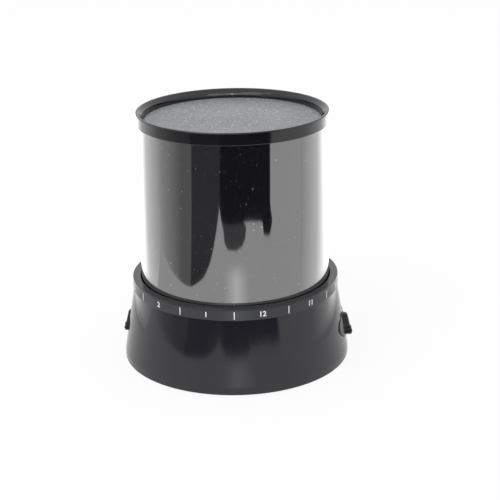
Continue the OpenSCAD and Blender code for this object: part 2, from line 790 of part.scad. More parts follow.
// A button in its released place; its outward direction is +X.
module button_body() {
    below = button_z - 2;
    above = button_top_z + 2;
    difference() {
        union() {
            // the shield, hollow behind, that slides in the window
            difference() {
                intersection() {
                    shield_bar(0, skirt_in_r, base_r + 1);
                    inside_wall(shield_proud, below, above);
                }
                intersection() {
                    shield_bar(-button_wall, skirt_in_r - 1, base_r + 1);
                    inside_wall(shield_proud - button_wall, below, above);
                }
            }
            nose();
            for (z = ridge_z) ridge(z);
            // the lip behind the window
            difference() {
                intersection() {
                    shield_bar(button_lip, skirt_in_r, base_r);
                    inside_wall(-wall - loose, below, above);
                }
                inside_wall(-wall - loose - lip_t, below - 1, above + 1);
                shield_bar(-button_wall, skirt_in_r - 1, base_r);
            }
            // the boss that takes the plunger
            translate([switch_front_r + button_travel + 1, 0, switch_z]) rotate([0, 90, 0])
                cylinder(h = wall_r(switch_z) - switch_front_r - button_travel - 1.5,
                    r = plunger_d / 2 + boss_wall);
        }
        translate([switch_front_r, 0, switch_z]) rotate([0, 90, 0])
            cylinder(h = button_travel + 1 + plunger_grip, r = plunger_d / 2 + slip);
    }
}

module button(angle) {
    color("#1c1c1f") on_feet() facing(angle) translate([-pressed(angle), 0, 0]) button_body();
}
module button_left() button(left);
module button_right() button(right);
module button_rear() button(rear);

module plunger(angle) {
    color("#e6e4da") on_feet() facing(angle)
        translate([switch_front_r - plunger_in - pressed(angle), 0, switch_z])
            rotate([0, 90, 0]) cylinder(h = plunger_in + button_travel + 1 + plunger_grip - slip,
                r = plunger_d / 2);
}
module plunger_left() plunger(left);
module plunger_right() plunger(right);
module plunger_rear() plunger(rear);

module switch_body(angle) {
    color("#3c3f44") on_feet() facing(angle) difference() {
        union() {
            translate([switch_front_r - switch_l, -switch_w / 2, switch_z - switch_w / 2])
                cube([switch_l, switch_w, switch_w]);
            for (y = [-2.2, 2.2], z = [-2, 2])
                translate([switch_front_r - switch_l - 2.4, y - 0.3, switch_z + z - 0.5])
                    cube([2.5, 0.6, 1]);
        }
        translate([switch_front_r - plunger_in - button_travel - 0.4, 0, switch_z])
            rotate([0, 90, 0]) cylinder(h = switch_l, r = plunger_d / 2 + running);
    }
}
module switch_left() switch_body(left);
module switch_right() switch_body(right);
module switch_rear() switch_body(rear);

// Posts on the plate that hold a switch.
module switch_cradle() {
    bed_z = switch_z - switch_w / 2 - slip;
    translate([switch_front_r - switch_l + 1, -switch_w / 2 - 1.35, plate_sink])
        cube([switch_l - 2, switch_w + 2.7, bed_z - plate_sink]);
    for (y = [-switch_w / 2 - 1.35, switch_w / 2 + 0.15])
        translate([switch_front_r - switch_l + 1, y, plate_sink])
            cube([switch_l - 2, 1.2, bed_z + switch_w * 0.7 - plate_sink]);
}

// ---------------------------------------------------------------- leads

module battery_leads() {
    end_x = bay_l / 2 - 3;
    top = bay_top + bay_wall;
    for (s = [-1, 1]) color(s < 0 ? "#1d1d1f" : "#b3262a") on_feet()
        lead([[end_x, s * 10, top], [end_x, s * 10, top + 3], [end_x - 3, s * 12, top + 6],
            [end_x - 6, s * 13, main_board_z - 3], [end_x - 6, s * 13, main_board_z]]);
}

module switch_leads() {
    back = switch_front_r - switch_l - 2.4 - 1;
    for (a = button_angles, y = [-2.2, 2.2]) color("#c9c9cc") on_feet() facing(a)
        lead([[back + 0.4, y, switch_z + 2], [back - 1.5, y, switch_z + 2.4],
            [board_edge(a) , y, main_board_z - 5], [board_edge(a) - 1, y, main_board_z - 2.5],
            [board_edge(a) - 1, y, main_board_z]]);
}
// Distance from the middle to just inside the main board's edge, in one direction.
function board_edge(a) = min(main_board_l / 2 / max(abs(cos(a - 90)), eps),
    main_board_w / 2 / max(abs(sin(a - 90)), eps)) - 1.5;

module jack_leads() {
    back = jack_face_r - jack_l;
    end_r = board_edge(jack_angle) - 1;
    for (y = [-2, 2]) color(y < 0 ? "#1d1d1f" : "#b3262a") on_feet() facing(jack_angle)
        lead([[back, y * 1.3, jack_z + jack_h / 4], [back - 2 * lead_d, y * 1.3, jack_z + jack_h / 4],
            [end_r + 5, y, main_board_z - 6], [end_r, y, main_board_z - 3], [end_r, y, main_board_z]]);
}

module lamp_leads() {
    for (k = [0:4]) color(["#d8d8da", "#b3262a", "#2b8a3e", "#2f4fb0", "#1d1d1f"][k]) on_feet()
        rotate([0, 0, 72 * k]) lead([[3.2, 0, main_board_top], [3.2, 0, main_board_top + 5],
            [2.6, 0.6, deck_z + 4], [3.2, 0, light_board_z - 5], [3.2, 0, light_board_z]]);
}

// ---------------------------------------------------------------- dome and cover

module dome_ring() {
    pointer_w = 3;
    color("#2b2b2f") on_feet() union() {
        ring(dome_r - dome_wall - 1, ring_r, ring_z, ring_flange_t);
        ring(sleeve_in_r, sleeve_r, ring_z + ring_flange_t - eps, ring_sleeve_h);
        // pointer that is set to the month
        translate([-pointer_w / 2, -sleeve_r - 0.5, dome_z - eps])
            cube([pointer_w, 1, ring_sleeve_h]);
    }
}

module star_dome() {
    in_r = dome_r - dome_wall;
    color("#55555c") on_feet() rotate_extrude() difference() {
        union() {
            translate([0, dome_z]) square([dome_r, dome_straight]);
            intersection() {
                translate([0, dome_centre_z]) circle(r = dome_r);
                translate([0, dome_centre_z - eps]) square([dome_r, dome_r + 1]);
            }
        }
        translate([0, dome_z - 1]) square([in_r, dome_straight + 1]);
        intersection() {
            translate([0, dome_centre_z]) circle(r = in_r);
            translate([0, dome_centre_z - eps]) square([in_r, in_r + 1]);
        }
    }
}

module cover_shell() {
    color("#3b3b40") on_feet() rotate_extrude($fn = 180) polygon([
        [cover_foot_r - cover_wall, cover_foot_z], [cover_foot_r, cover_foot_z],
        [cover_foot_r, base_h], [cover_top_r, rim_z - slip], [cover_top_r - cover_wall, rim_z - slip],
        [cover_foot_r - cover_wall, base_h]]);
}

module cover_rim() {
    rim_r = rim_d / 2;
    rim_foot_r = rim_foot_d / 2;
    seat_r = disc_r + slip;
    crown_z = rim_top - rim_round;
    crown_r = rim_r - rim_round;
    color("#141416") on_feet() rotate_extrude($fn = 180) polygon(concat(
        [[spigot_r - spigot_wall, spigot_z], [spigot_r, spigot_z], [spigot_r, rim_z],
            [rim_foot_r, rim_z], [rim_r, rim_z + rim_h * 0.55]],
        arc([crown_r, crown_z], rim_round, 0, 150, 15),
        [[seat_r, disc_top], [seat_r, disc_z - slip], [spigot_r - spigot_wall, disc_z - slip]]));
}

module cover_disc() {
    color("#8f9296") on_feet() translate([0, 0, disc_z]) cylinder(h = disc_t, r = disc_r);
}

base_housing();
deck();
dome_clips();
month_strip();
base_plate();
base_screws();
rubber_feet();
battery_1();
battery_2();
battery_3();
positive_contacts();
negative_contacts();
contact_springs();
battery_door();
door_screws();
main_board();
board_screws();
driver_chip();
capacitor();
resistors();
light_turret();
turret_screws();
light_board();
lamp_warm();
lamp_red();
lamp_green();
lamp_blue();
switch_left();
switch_right();
switch_rear();
plunger_left();
plunger_right();
plunger_rear();
button_left();
button_right();
button_rear();
dc_jack();
dc_jack_pin();
battery_leads();
switch_leads();
jack_leads();
lamp_leads();
dome_ring();
star_dome();
cover_shell();
cover_rim();
cover_disc();
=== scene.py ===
"""Looks of the table-top star projector: surfaces, printed scales, star print, light and camera."""

import json
from math import cos, degrees, pi, radians, sin, sqrt, tan

import bmesh
import bpy
from mathutils import Matrix, Vector


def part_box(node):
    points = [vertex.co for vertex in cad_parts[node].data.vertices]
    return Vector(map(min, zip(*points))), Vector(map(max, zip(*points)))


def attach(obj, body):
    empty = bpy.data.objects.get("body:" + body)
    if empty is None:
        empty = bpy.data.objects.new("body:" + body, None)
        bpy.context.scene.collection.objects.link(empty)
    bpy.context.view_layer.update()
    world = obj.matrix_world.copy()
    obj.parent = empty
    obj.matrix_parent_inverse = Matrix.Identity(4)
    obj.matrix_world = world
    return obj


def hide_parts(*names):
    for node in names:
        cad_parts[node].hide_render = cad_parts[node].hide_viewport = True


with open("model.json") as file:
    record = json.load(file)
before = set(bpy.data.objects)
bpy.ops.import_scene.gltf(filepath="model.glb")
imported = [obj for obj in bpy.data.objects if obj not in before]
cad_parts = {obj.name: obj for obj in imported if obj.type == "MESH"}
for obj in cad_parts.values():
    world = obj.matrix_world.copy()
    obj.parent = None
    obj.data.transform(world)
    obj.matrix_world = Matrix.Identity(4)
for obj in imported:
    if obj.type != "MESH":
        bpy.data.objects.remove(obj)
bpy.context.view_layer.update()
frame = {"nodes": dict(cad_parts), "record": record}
NODES = frame["nodes"]
MM = 0.001

# ---------------------------------------------------------------- camera
# The photograph's camera, worked out from the object's own edges.
CAMERA_AZIMUTH = 5.4            # degrees from the front, towards +X
CAMERA_DISTANCE = 617.9 * MM    # from the object's axis, along the table
CAMERA_HEIGHT = 275.2 * MM
CAMERA_ELEVATION = 18.87        # degrees that the camera looks down
CAMERA_ROLL = -1.11
FOCAL_LENGTH = 93.2             # millimetres, as the sensor's width
SENSOR_WIDTH = 36
SHIFT = (0.0309, -0.0366)
NEAREST_SEEN = 0.01             # metres


def add_camera():
    """Puts the camera where the photograph's camera stood."""
    azimuth, elevation, roll = map(radians, (CAMERA_AZIMUTH, CAMERA_ELEVATION, CAMERA_ROLL))
    right = Vector((cos(azimuth), sin(azimuth), 0))
    ahead = Vector((-sin(azimuth) * cos(elevation), cos(azimuth) * cos(elevation), -sin(elevation)))
    up = right.cross(ahead)
    rolled_right = right * cos(roll) + up * sin(roll)
    rolled_up = up * cos(roll) - right * sin(roll)
    turn = Matrix((rolled_right, rolled_up, -ahead)).transposed().to_4x4()
    place = Vector((CAMERA_DISTANCE * sin(azimuth), -CAMERA_DISTANCE * cos(azimuth), CAMERA_HEIGHT))
    data = bpy.data.cameras.new("camera")
    data.lens = FOCAL_LENGTH
    data.sensor_width = SENSOR_WIDTH
    data.shift_x, data.shift_y = SHIFT
    data.clip_start = NEAREST_SEEN
    camera = bpy.data.objects.new("camera", data)
    camera.matrix_world = Matrix.Translation(place) @ turn
    bpy.context.scene.collection.objects.link(camera)
    bpy.context.scene.camera = camera


# ---------------------------------------------------------------- material helpers

MID_NOISE = (0.3, 0.7)          # the range that most of a noise texture's values fall in
MOTTLE_SCALE = 60.0             # moulded plastic: colour mottle and patches of uneven gloss
PATCH_SCALE = 35.0
PATCH_GLOSS = (0.75, 1.3)       # least and most roughness, as shares of the named one
DRAWN_GRAIN = (4000.0, 400.0, 400.0)
DRAWN_DEPTH = 0.004 * MM
FILM_PATCH_SCALE = 18.0         # printed film: patches of uneven gloss and its slow waves
FILM_WAVE_SCALE = 22.0
WIDE_GLOSS = (0.7, 1.4)         # the same for metal and printed film
STAR_SOFTNESS = 0.35            # width of a dot's soft edge, as a share of its radius
PALE_DOT = (0.62, 0.63, 0.65)


class Nodes:
    """A material's node tree, with short calls for the nodes used here."""

    def __init__(self, name):
        self.material = bpy.data.materials.new(name)
        self.material.use_nodes = True
        self.tree = self.material.node_tree
        self.shader = self.tree.nodes["Principled BSDF"]
        self.coordinates = self.tree.nodes.new("ShaderNodeTexCoord").outputs["Object"]

    def set(self, **values):
        """Sets values on the shader's own sockets."""
        for key, value in values.items():
            self.shader.inputs[key.replace("_", " ")].default_value = value

    def link(self, source, target):
        self.tree.links.new(source, target)

    def new(self, kind, **values):
        node = self.tree.nodes.new(kind)
        for key, value in values.items():
            setattr(node, key, value)
        return node

    def noise(self, scale, detail=3.0, roughness=0.5, vector=None):
        node = self.new("ShaderNodeTexNoise")
        node.inputs["Scale"].default_value = scale
        node.inputs["Detail"].default_value = detail
        node.inputs["Roughness"].default_value = roughness
        self.link(vector or self.coordinates, node.inputs["Vector"])
        return node.outputs["Fac"]

    def cells(self, scale):
        """Voronoi cells: the distance to each cell's point, and a random colour per cell."""
        node = self.new("ShaderNodeTexVoronoi")
        node.inputs["Scale"].default_value = scale
        self.link(self.coordinates, node.inputs["Vector"])
        return node.outputs["Distance"], node.outputs["Color"]

    def ramp(self, source, low, high, out_low=0.0, out_high=1.0):
        """Maps a range of a value to another range, and stops at its ends."""
        node = self.new("ShaderNodeMapRange", clamp=True)
        node.inputs["From Min"].default_value = low
        node.inputs["From Max"].default_value = high
        node.inputs["To Min"].default_value = out_low
        node.inputs["To Max"].default_value = out_high
        self.link(source, node.inputs["Value"])
        return node.outputs["Result"]

    def math(self, operation, first, second=0.0):
        """An operation on two values, each a number or a socket."""
        node = self.new("ShaderNodeMath", operation=operation)
        for socket, value in zip(node.inputs, (first, second)):
            if isinstance(value, (int, float)):
                socket.default_value = value
            else:
                self.link(value, socket)
        return node.outputs[0]

    def mix(self, factor, first, second):
        """Mixes two colours, each a tuple or a socket."""
        node = self.new("ShaderNodeMix", data_type="RGBA")
        self.link(factor, node.inputs["Factor"])
        for socket, value in ((node.inputs[6], first), (node.inputs[7], second)):
            if isinstance(value, tuple):
                socket.default_value = (*value, 1)
            else:
                self.link(value, socket)
        return node.outputs[2]

    def uneven_gloss(self, pattern, roughness, shares):
        """Lets the roughness follow a pattern between two shares of a named value."""
        least, most = (roughness * share for share in shares)
        self.link(self.ramp(pattern, *MID_NOISE, least, most), self.shader.inputs["Roughness"])

    def bump(self, height, distance):
        node = self.new("ShaderNodeBump")
        node.inputs["Distance"].default_value = distance
        self.link(height, node.inputs["Height"])
        self.link(node.outputs["Normal"], self.shader.inputs["Normal"])


def scaled(colour, factor):
    """A colour with each channel times a factor."""
    return tuple(channel * factor for channel in colour)


def moulded(name, colour, roughness, wear=0.25, peel=0.012 * MM, fine=900.0, ior=1.5):
    """Moulded plastic: a slight mottle, uneven gloss and the faint ripple of the mould.
    wear is how far the mottle goes, peel the ripple's depth and fine its scale."""
    m = Nodes(name)
    m.set(Roughness=roughness, IOR=ior)
    mottled = m.mix(m.noise(MOTTLE_SCALE, 4.0), scaled(colour, 1 - wear), scaled(colour, 1 + wear))
    m.link(mottled, m.shader.inputs["Base Color"])
    m.uneven_gloss(m.noise(PATCH_SCALE, 6.0, 0.6), roughness, PATCH_GLOSS)
    m.bump(m.noise(fine, 2.0), peel)
    return m.material


def metal(name, colour, roughness):
    """Plated steel or brass with a drawn grain."""
    m = Nodes(name)
    m.set(Metallic=1.0)
    stretch = m.new("ShaderNodeMapping")
    stretch.inputs["Scale"].default_value = DRAWN_GRAIN
    m.link(m.coordinates, stretch.inputs["Vector"])
    lines = m.noise(1.0, 4.0, 0.6, stretch.outputs["Vector"])
    m.link(m.mix(lines, scaled(colour, 0.8), colour), m.shader.inputs["Base Color"])
    m.uneven_gloss(lines, roughness, WIDE_GLOSS)
    m.bump(lines, DRAWN_DEPTH)
    return m.material


def star_mask(m, spacing, radius, share):
    """Dots in a share of the Voronoi cells, each of its own size up to the radius."""
    distance, colour = m.cells(1 / spacing)
    split = m.new("ShaderNodeSeparateColor")
    m.link(colour, split.inputs["Color"])
    size = m.ramp(split.outputs["Red"], 1 - share, 1.0, 0.0, radius / spacing)
    edge = m.math("SUBTRACT", size, distance)
    return m.ramp(edge, 0.0, STAR_SOFTNESS * radius / spacing)


def starred(name, tint, roughness, ior, waves, stars, grain=25.0, dot=PALE_DOT):
    """A smooth surface with printed star dots. stars lists (spacing, radius, share) of each size,
    grain is the scale of its mottle and waves the depth of its slow waves."""
    m = Nodes(name)
    m.set(IOR=ior)
    mask = None
    for spacing, radius, share in stars:
        layer = star_mask(m, spacing, radius, share)
        mask = layer if mask is None else m.math("MAXIMUM", mask, layer)
    mottled = m.mix(m.ramp(m.noise(grain), *MID_NOISE), scaled(tint, 0.75), scaled(tint, 1.3))
    m.link(m.mix(mask, mottled, dot), m.shader.inputs["Base Color"])
    m.uneven_gloss(m.noise(FILM_PATCH_SCALE, 5.0, 0.6), roughness, WIDE_GLOSS)
    m.bump(m.noise(FILM_WAVE_SCALE, 1.5, 0.4), waves)
    return m.material


# ---------------------------------------------------------------- mesh helpers

SUPPORT = 0.25                  # millimetres from a rounding to the point that supports its shading
SIDE_SHARE = 0.45               # the most of a side that one rounding may take
ROUND_SEGMENTS = 48             # of small round pieces


def fillet(points, radii, steps=5):
    """Rounds the corners of a closed outline of (r, z) points; a radius of 0 keeps a corner.
    A support point beside each rounding keeps the long faces' shading straight."""
    out = []
    count = len(points)
    for i, (point, radius) in enumerate(zip(points, radii)):
        here = Vector(point)
        if radius == 0:
            out.append(tuple(here))
            continue
        before = Vector(points[i - 1]) - here
        after = Vector(points[(i + 1) % count]) - here
        half = before.angle(after) / 2
        cut = min(radius / tan(half), before.length * SIDE_SHARE, after.length * SIDE_SHARE)
        start = here + before.normalized() * cut
        end = here + after.normalized() * cut
        if before.length > 2 * (cut + SUPPORT):
            out.append(tuple(start + before.normalized() * SUPPORT))
        for k in range(steps + 1):
            t = k / steps
            out.append(tuple(start * (1 - t) ** 2 + here * 2 * t * (1 - t) + end * t * t))
        if after.length > 2 * (cut + SUPPORT):
            out.append(tuple(end + after.normalized() * SUPPORT))
    return out


def make_object(name, mesh, material, body, sharp=35.0):
    """A smooth-shaded piece on a body; edges sharper than an angle in degrees stay sharp."""
    mesh.materials.clear()
    mesh.materials.append(material)
    mesh.polygons.foreach_set("use_smooth", [True] * len(mesh.polygons))
    mesh.set_sharp_from_angle(angle=radians(sharp))
    piece = bpy.data.objects.new(name, mesh)
    bpy.context.scene.collection.objects.link(piece)
    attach(piece, body)
    return piece


def neighbours(ring, k, n):
    """Two points of a ring, or the one point of a ring that lies on the axis."""
    return [ring[k], ring[n]] if len(ring) > 1 else ring


def lathe_mesh(name, outline, segments=240):
    """Turns a closed outline of (r, z) points, in millimetres, about the vertical axis."""
    bm = bmesh.new()
    rings = []
    for r, z in outline:
        if r == 0:
            rings.append([bm.verts.new((0, 0, z * MM))])
            continue
        rings.append([bm.verts.new((r * MM * cos(2 * pi * k / segments),
                                    r * MM * sin(2 * pi * k / segments), z * MM))
                      for k in range(segments)])
    for first, second in zip(rings, rings[1:] + rings[:1]):
        for k in range(segments):
            n = (k + 1) % segments
            corners = neighbours(first, k, n) + neighbours(second, n, k)
            if len(corners) > 2:
                bm.faces.new(corners)
    bmesh.ops.recalc_face_normals(bm, faces=bm.faces)
    mesh = bpy.data.meshes.new(name)
    bm.to_mesh(mesh)
    bm.free()
    return mesh


def lathe(name, outline, material, body, segments=240):
    """A turned piece on a body, from its closed outline."""
    return make_object(name, lathe_mesh(name, outline, segments), material, body)


def solid_from_sections(name, sections):
    """Skins closed loops of points, in metres, and caps both ends with a fan."""
    bm = bmesh.new()
    loops = [[bm.verts.new(p) for p in section] for section in sections]
    count = len(loops[0])
    for a, b in zip(loops, loops[1:]):
        for k in range(count):
            n = (k + 1) % count
            bm.faces.new((a[k], a[n], b[n], b[k]))
    for loop in (loops[0], loops[-1]):
        centre = sum((v.co for v in loop), Vector()) / count
        hub = bm.verts.new(centre)
        for k in range(count):
            bm.faces.new((loop[k], loop[(k + 1) % count], hub))
    bmesh.ops.recalc_face_normals(bm, faces=bm.faces)
    mesh = bpy.data.meshes.new(name)
    bm.to_mesh(mesh)
    bm.free()
    return mesh


def join_meshes(name, meshes):
    """One mesh out of several; they keep their places."""
    bm = bmesh.new()
    for mesh in meshes:
        bm.from_mesh(mesh)
    joined = bpy.data.meshes.new(name)
    bm.to_mesh(joined)
    bm.free()
    return joined


def cut_out(piece, cutters):
    """Cuts meshes given in the same frame out of a piece."""
    for mesh in cutters:
        tool = bpy.data.objects.new("cutter", mesh)
        bpy.context.scene.collection.objects.link(tool)
        modifier = piece.modifiers.new("cut", "BOOLEAN")
        modifier.operation = "DIFFERENCE"
        modifier.solver = "EXACT"
        modifier.object = tool
        bpy.context.view_layer.update()
        result = bpy.data.meshes.new_from_object(
            piece.evaluated_get(bpy.context.evaluated_depsgraph_get()))
        piece.modifiers.clear()
        piece.data = result
        bpy.data.objects.remove(tool)


def turned(mesh, angle):
    """A copy of a mesh turned about the vertical axis, in degrees."""
    copy = mesh.copy()
    copy.transform(Matrix.Rotation(radians(angle), 4, "Z"))
    return copy


def box_mesh(low, high):
    """A box between two corners given in millimetres."""
    corners = [Vector((x, y, z)) * MM for z in (low[2], high[2])
               for x, y in ((low[0], low[1]), (high[0], low[1]), (high[0], high[1]), (low[0], high[1]))]
    return solid_from_sections("box", [corners[:4], corners[4:]])


def rod_mesh(radius, low, high):
    """An upright cylinder, in millimetres."""
    angles = [2 * pi * k / ROUND_SEGMENTS for k in range(ROUND_SEGMENTS)]
    return solid_from_sections("rod", [[Vector((radius * cos(a), radius * sin(a), z)) * MM for a in angles]
                                       for z in (low, high)])


# ---------------------------------------------------------------- sizes, in millimetres
# The frame gives the outer sizes; the rest are the part's own values.
housing_low, housing_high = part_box("base_housing")
FOOT = housing_low[2] / MM                  # housing's bottom edge above the table
BASE_R = (housing_high[0] - housing_low[0]) / 2 / MM
SHOULDER_Z = housing_high[2] / MM
RIM_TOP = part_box("cover_rim")[1][2] / MM
LIP_R = BASE_R - 0.2
LIP_Z = FOOT + 3.4
COLLAR_H = 5.9
CONE_TOP_R = 51.65
CONE_TOP_Z = SHOULDER_Z - COLLAR_H
COLLAR_R = 51.8
STRIP_T = 0.25
STRIP_R = COLLAR_R + STRIP_T
STRIP_LOW = CONE_TOP_Z + 0.05
STRIP_HIGH = STRIP_LOW + 5.1
STRIP_LEDGE_Z = SHOULDER_Z - 0.7
SEAM_AZIMUTH = 4.4              # degrees to the right of the front, where the strip's ends meet
OVERLAP_ANGLE = 6.0             # how far the strip's end runs over its start
OVERLAP_T = 0.6 * STRIP_T
WALL = 2.0
COVER_FOOT_R = 47.65
RECESS_R = COVER_FOOT_R + 0.4
DECK_Z = SHOULDER_Z - 9.2       # the deck's top, in the recess
OVER_DECK = 0.3                 # how high the cover and the turning ring stand over the deck
CEILING_Z = DECK_Z - 2.0
LEDGE_Z = CEILING_Z - 1.5       # the ledge that carries the deck
LEDGE_R = RECESS_R - 1.2
SEAT_Z = FOOT + 2.65            # the ring that rests on the base plate's edge
SEAT_H = 1.0
SEAT_W = 1.2
CONE_SLOPE = (LIP_R - CONE_TOP_R) / (CONE_TOP_Z - LIP_Z)
COVER_TOP_R = 45.6
COVER_WALL = 1.6
RIM_Z = RIM_TOP - 6.1
RIM_R = 47.45
RIM_CREST_R = 46.2              # where the rim's flat crest ends and slopes inwards
RIM_THROAT_R = 44.15            # where the slope ends
RIM_THROAT_Z = RIM_TOP - 1.8
SPIGOT_R = COVER_TOP_R - COVER_WALL - 0.05
SPIGOT_WALL = 1.2
SPIGOT_H = 4.0
DISC_TOP = RIM_TOP - 4.4
DISC_R = 43.6
DISC_T = 0.8
DISC_GAP = 0.05
COVER_SEGMENTS = 320
RING_T = 1.6
RING_Z = DECK_Z + OVER_DECK
DOME_R = 40.0
DOME_WALL = 1.4
DOME_STRAIGHT = 25.0            # height of the dome's straight part
DOME_FOOT_Z = RING_Z + RING_T
DOME_CENTRE_Z = DOME_FOOT_Z + DOME_STRAIGHT


def wall_r(z):
    """Radius of the housing's cone at a height."""
    return LIP_R - CONE_SLOPE * (z - LIP_Z)


def inside_r(z):
    """Radius of the cone's inner side at a height."""
    return wall_r(z) - WALL


# ---------------------------------------------------------------- materials

BLACK = (0.012, 0.012, 0.017)
# Printed dots, as (spacing, largest radius, share of the cells that have one).
COVER_STARS = ((3.4 * MM, 0.48 * MM, 0.7), (1.9 * MM, 0.25 * MM, 0.8), (1.0 * MM, 0.15 * MM, 0.8))
COVER_DOT = (0.28, 0.29, 0.3)
# The disc's dots are the star print, made pale to paint the glints of its glitter.
DISC_STARS = ((2.6 * MM, 0.6 * MM, 0.6), (1.4 * MM, 0.42 * MM, 0.7), (0.9 * MM, 0.25 * MM, 0.8))
DISC_GLINT_GRAIN = 800.0              # fine enough to read as painted glints, the sparkle of the glittery film
DOME_STARS = ((3.0 * MM, 0.55 * MM, 0.8), (1.6 * MM, 0.25 * MM, 0.8))

# One material for each slot of the part's record, and the white of the printed scale.
materials = {
    "black_gloss": moulded("black_gloss", BLACK, 0.09, peel=0.005 * MM),
    "black_plate": moulded("black_plate", (0.03, 0.03, 0.032), 0.42, fine=2500.0, peel=0.03 * MM),
    "strip_print": moulded("strip_print", (0.019, 0.02, 0.025), 0.16, peel=0.004 * MM),
    "smoked_mirror": starred("smoked_mirror", (0.006, 0.006, 0.007), 0.05, ior=2.77, waves=0.02 * MM,
                             stars=COVER_STARS, dot=COVER_DOT),
    "rim_black": moulded("rim_black", (0.007, 0.007, 0.009), 0.1, ior=1.55),
    # The disc's grey tint is painted reflection: the dark starred film is coloured grey for the light
    # above that it mirrors.
    "disc_grey": starred("disc_grey", (0.195, 0.205, 0.213), 0.4, ior=1.5, waves=0.01 * MM,
                         stars=DISC_STARS, grain=DISC_GLINT_GRAIN),
    "rubber_black": moulded("rubber_black", (0.02, 0.02, 0.02), 0.8, fine=3500.0, peel=0.05 * MM),
    "dome_print": starred("dome_print", (0.012, 0.012, 0.015), 0.1, ior=1.5, waves=0.01 * MM,
                          stars=DOME_STARS),
    "ring_black": moulded("ring_black", (0.03, 0.03, 0.033), 0.4, fine=2500.0, peel=0.03 * MM),
    "button_black": moulded("button_black", (0.008, 0.008, 0.009), 0.26, ior=1.38),
    "steel": metal("steel", (0.62, 0.62, 0.64), 0.3),
    "spring_steel": metal("spring_steel", (0.75, 0.75, 0.77), 0.15),
    "brass": metal("brass", (0.8, 0.6, 0.28), 0.22),
    "cell_jacket": moulded("cell_jacket", (0.03, 0.16, 0.07), 0.25),
    "board_green": moulded("board_green", (0.03, 0.16, 0.07), 0.3),
    "board_white": moulded("board_white", (0.72, 0.72, 0.7), 0.35),
    "chip_black": moulded("chip_black", (0.03, 0.03, 0.03), 0.55),
    "ceramic_tan": moulded("ceramic_tan", (0.55, 0.45, 0.28), 0.5),
    "capacitor_sleeve": moulded("capacitor_sleeve", (0.03, 0.04, 0.22), 0.25),
    "switch_grey": moulded("switch_grey", (0.07, 0.075, 0.08), 0.4),
    "plunger_white": moulded("plunger_white", (0.7, 0.69, 0.64), 0.35),
    "lamp_clear": moulded("lamp_clear", (0.75, 0.72, 0.55), 0.05),
    "lamp_red": moulded("lamp_red", (0.6, 0.05, 0.04), 0.05),
    "lamp_green": moulded("lamp_green", (0.06, 0.4, 0.07), 0.05),
    "lamp_blue": moulded("lamp_blue", (0.05, 0.1, 0.55), 0.05),
    "lead_red": moulded("lead_red", (0.45, 0.03, 0.03), 0.35),
    "lead_grey": moulded("lead_grey", (0.4, 0.4, 0.42), 0.35),
    "print_white": moulded("print_white", (0.9, 0.9, 0.9), 0.4, wear=0.05, peel=0.004 * MM),
}


def dress_cad_nodes():
    """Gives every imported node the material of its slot."""
    for part in frame["record"]["subparts"]:
        node = NODES[part["node"]]
        node.data.materials.clear()
        node.data.materials.append(materials[part["material_slot"]])


# ---------------------------------------------------------------- buttons

BUTTON_W = 30.0
BUTTON_TOP_W = 15.0
BUTTON_LOW = FOOT + 8.6
BUTTON_H = 11.6
BUTTON_HIGH = BUTTON_LOW + BUTTON_H
BUTTON_WIDE_Z = BUTTON_LOW + 0.66 * BUTTON_H
BUTTON_GAP = 0.3
BUTTON_TRAVEL = 1.2
SHIELD_PROUD = 0.5
SHIELD_POWER = 1.25             # over 1 draws the shield's lower half to a point
# The shield's rounded edge and face, as (distance outside the wall, growth of the outline).
SHIELD_PROFILE = ((-1.0, 0), (SHIELD_PROUD - 0.35, 0), (SHIELD_PROUD - 0.1, -0.1), (SHIELD_PROUD, -0.35),
                  (SHIELD_PROUD, -2.5), (SHIELD_PROUD, -4.5))
SHIELD_STEPS = 32               # points along its lower half
SKIRT_R = 49.0                  # where the button's skirt ends behind the wall
LIP_PROUD = 1.2
NOSE_LOW = 3.3                  # how far the nose stands out of the wall, below and above
NOSE_HIGH = 2.5
NOSE_ROOT = 4.0                 # half widths of the nose
NOSE_CREST = 1.3
NOSE_ROUNDING = 0.5
RIDGES = (BUTTON_LOW + 1.9, BUTTON_LOW + 3.8)
RIDGE_PROUD = 0.45
RIDGE_H = 0.8
BOSS_BORE_R = 1.55              # the boss takes the plunger
BOSS_R = 3.0
BOSS_BACK = 45.8
BOSS_FRONT = 49.5
SWITCH_Z = (BUTTON_LOW + BUTTON_HIGH) / 2
BUTTONS = {"left": -90, "right": 90, "rear": 180}       # degrees from the front, towards +X
LATCHED = ("left", "rear")


def shield(grow=0.0):
    """A button's outline as (y, z) points: pointed below, widest above its middle, flat on top."""
    half = BUTTON_W / 2 + grow
    top = (BUTTON_TOP_W + grow) / 2
    depth = BUTTON_WIDE_Z - BUTTON_LOW + grow
    rise = BUTTON_HIGH - BUTTON_WIDE_Z + grow
    points = []
    for k in range(SHIELD_STEPS + 1):
        a = pi * k / SHIELD_STEPS
        across = half * (abs(cos(a)) ** SHIELD_POWER) * (1 if cos(a) < 0 else -1)
        points.append((across, BUTTON_WIDE_Z - depth * abs(sin(a)) ** SHIELD_POWER))
    for side, angles in ((1, range(10, 91, 10)), (-1, range(90, 9, -10))):
        for degree in angles:
            a = radians(degree)
            points.append((side * (top + (half - top) * cos(a)), BUTTON_WIDE_Z + rise * sin(a)))
    return points


def bar_mesh(outline, x_from, x_to):
    """An outline in the (y, z) plane as a bar along +X, all in millimetres."""
    return solid_from_sections("bar", [[Vector((x, y, z)) * MM for y, z in outline]
                                       for x in (x_from, x_to)])


def on_wall(points, margin, flat=0.0):
    """Lays (y, z) points on a cone that lies a margin outside the wall, but no nearer than a plane."""
    return [Vector((max(sqrt((wall_r(z) + margin) ** 2 - y * y), flat), y, z)) * MM for y, z in points]


def shield_mesh():
    """The shield, from the end of its skirt to its rounded outer edge and its face."""
    skirt_end = [Vector((SKIRT_R, y, z)) * MM for y, z in shield()]
    loops = [on_wall(shield(grow), margin) for margin, grow in SHIELD_PROFILE]
    return solid_from_sections("shield", [skirt_end] + loops)


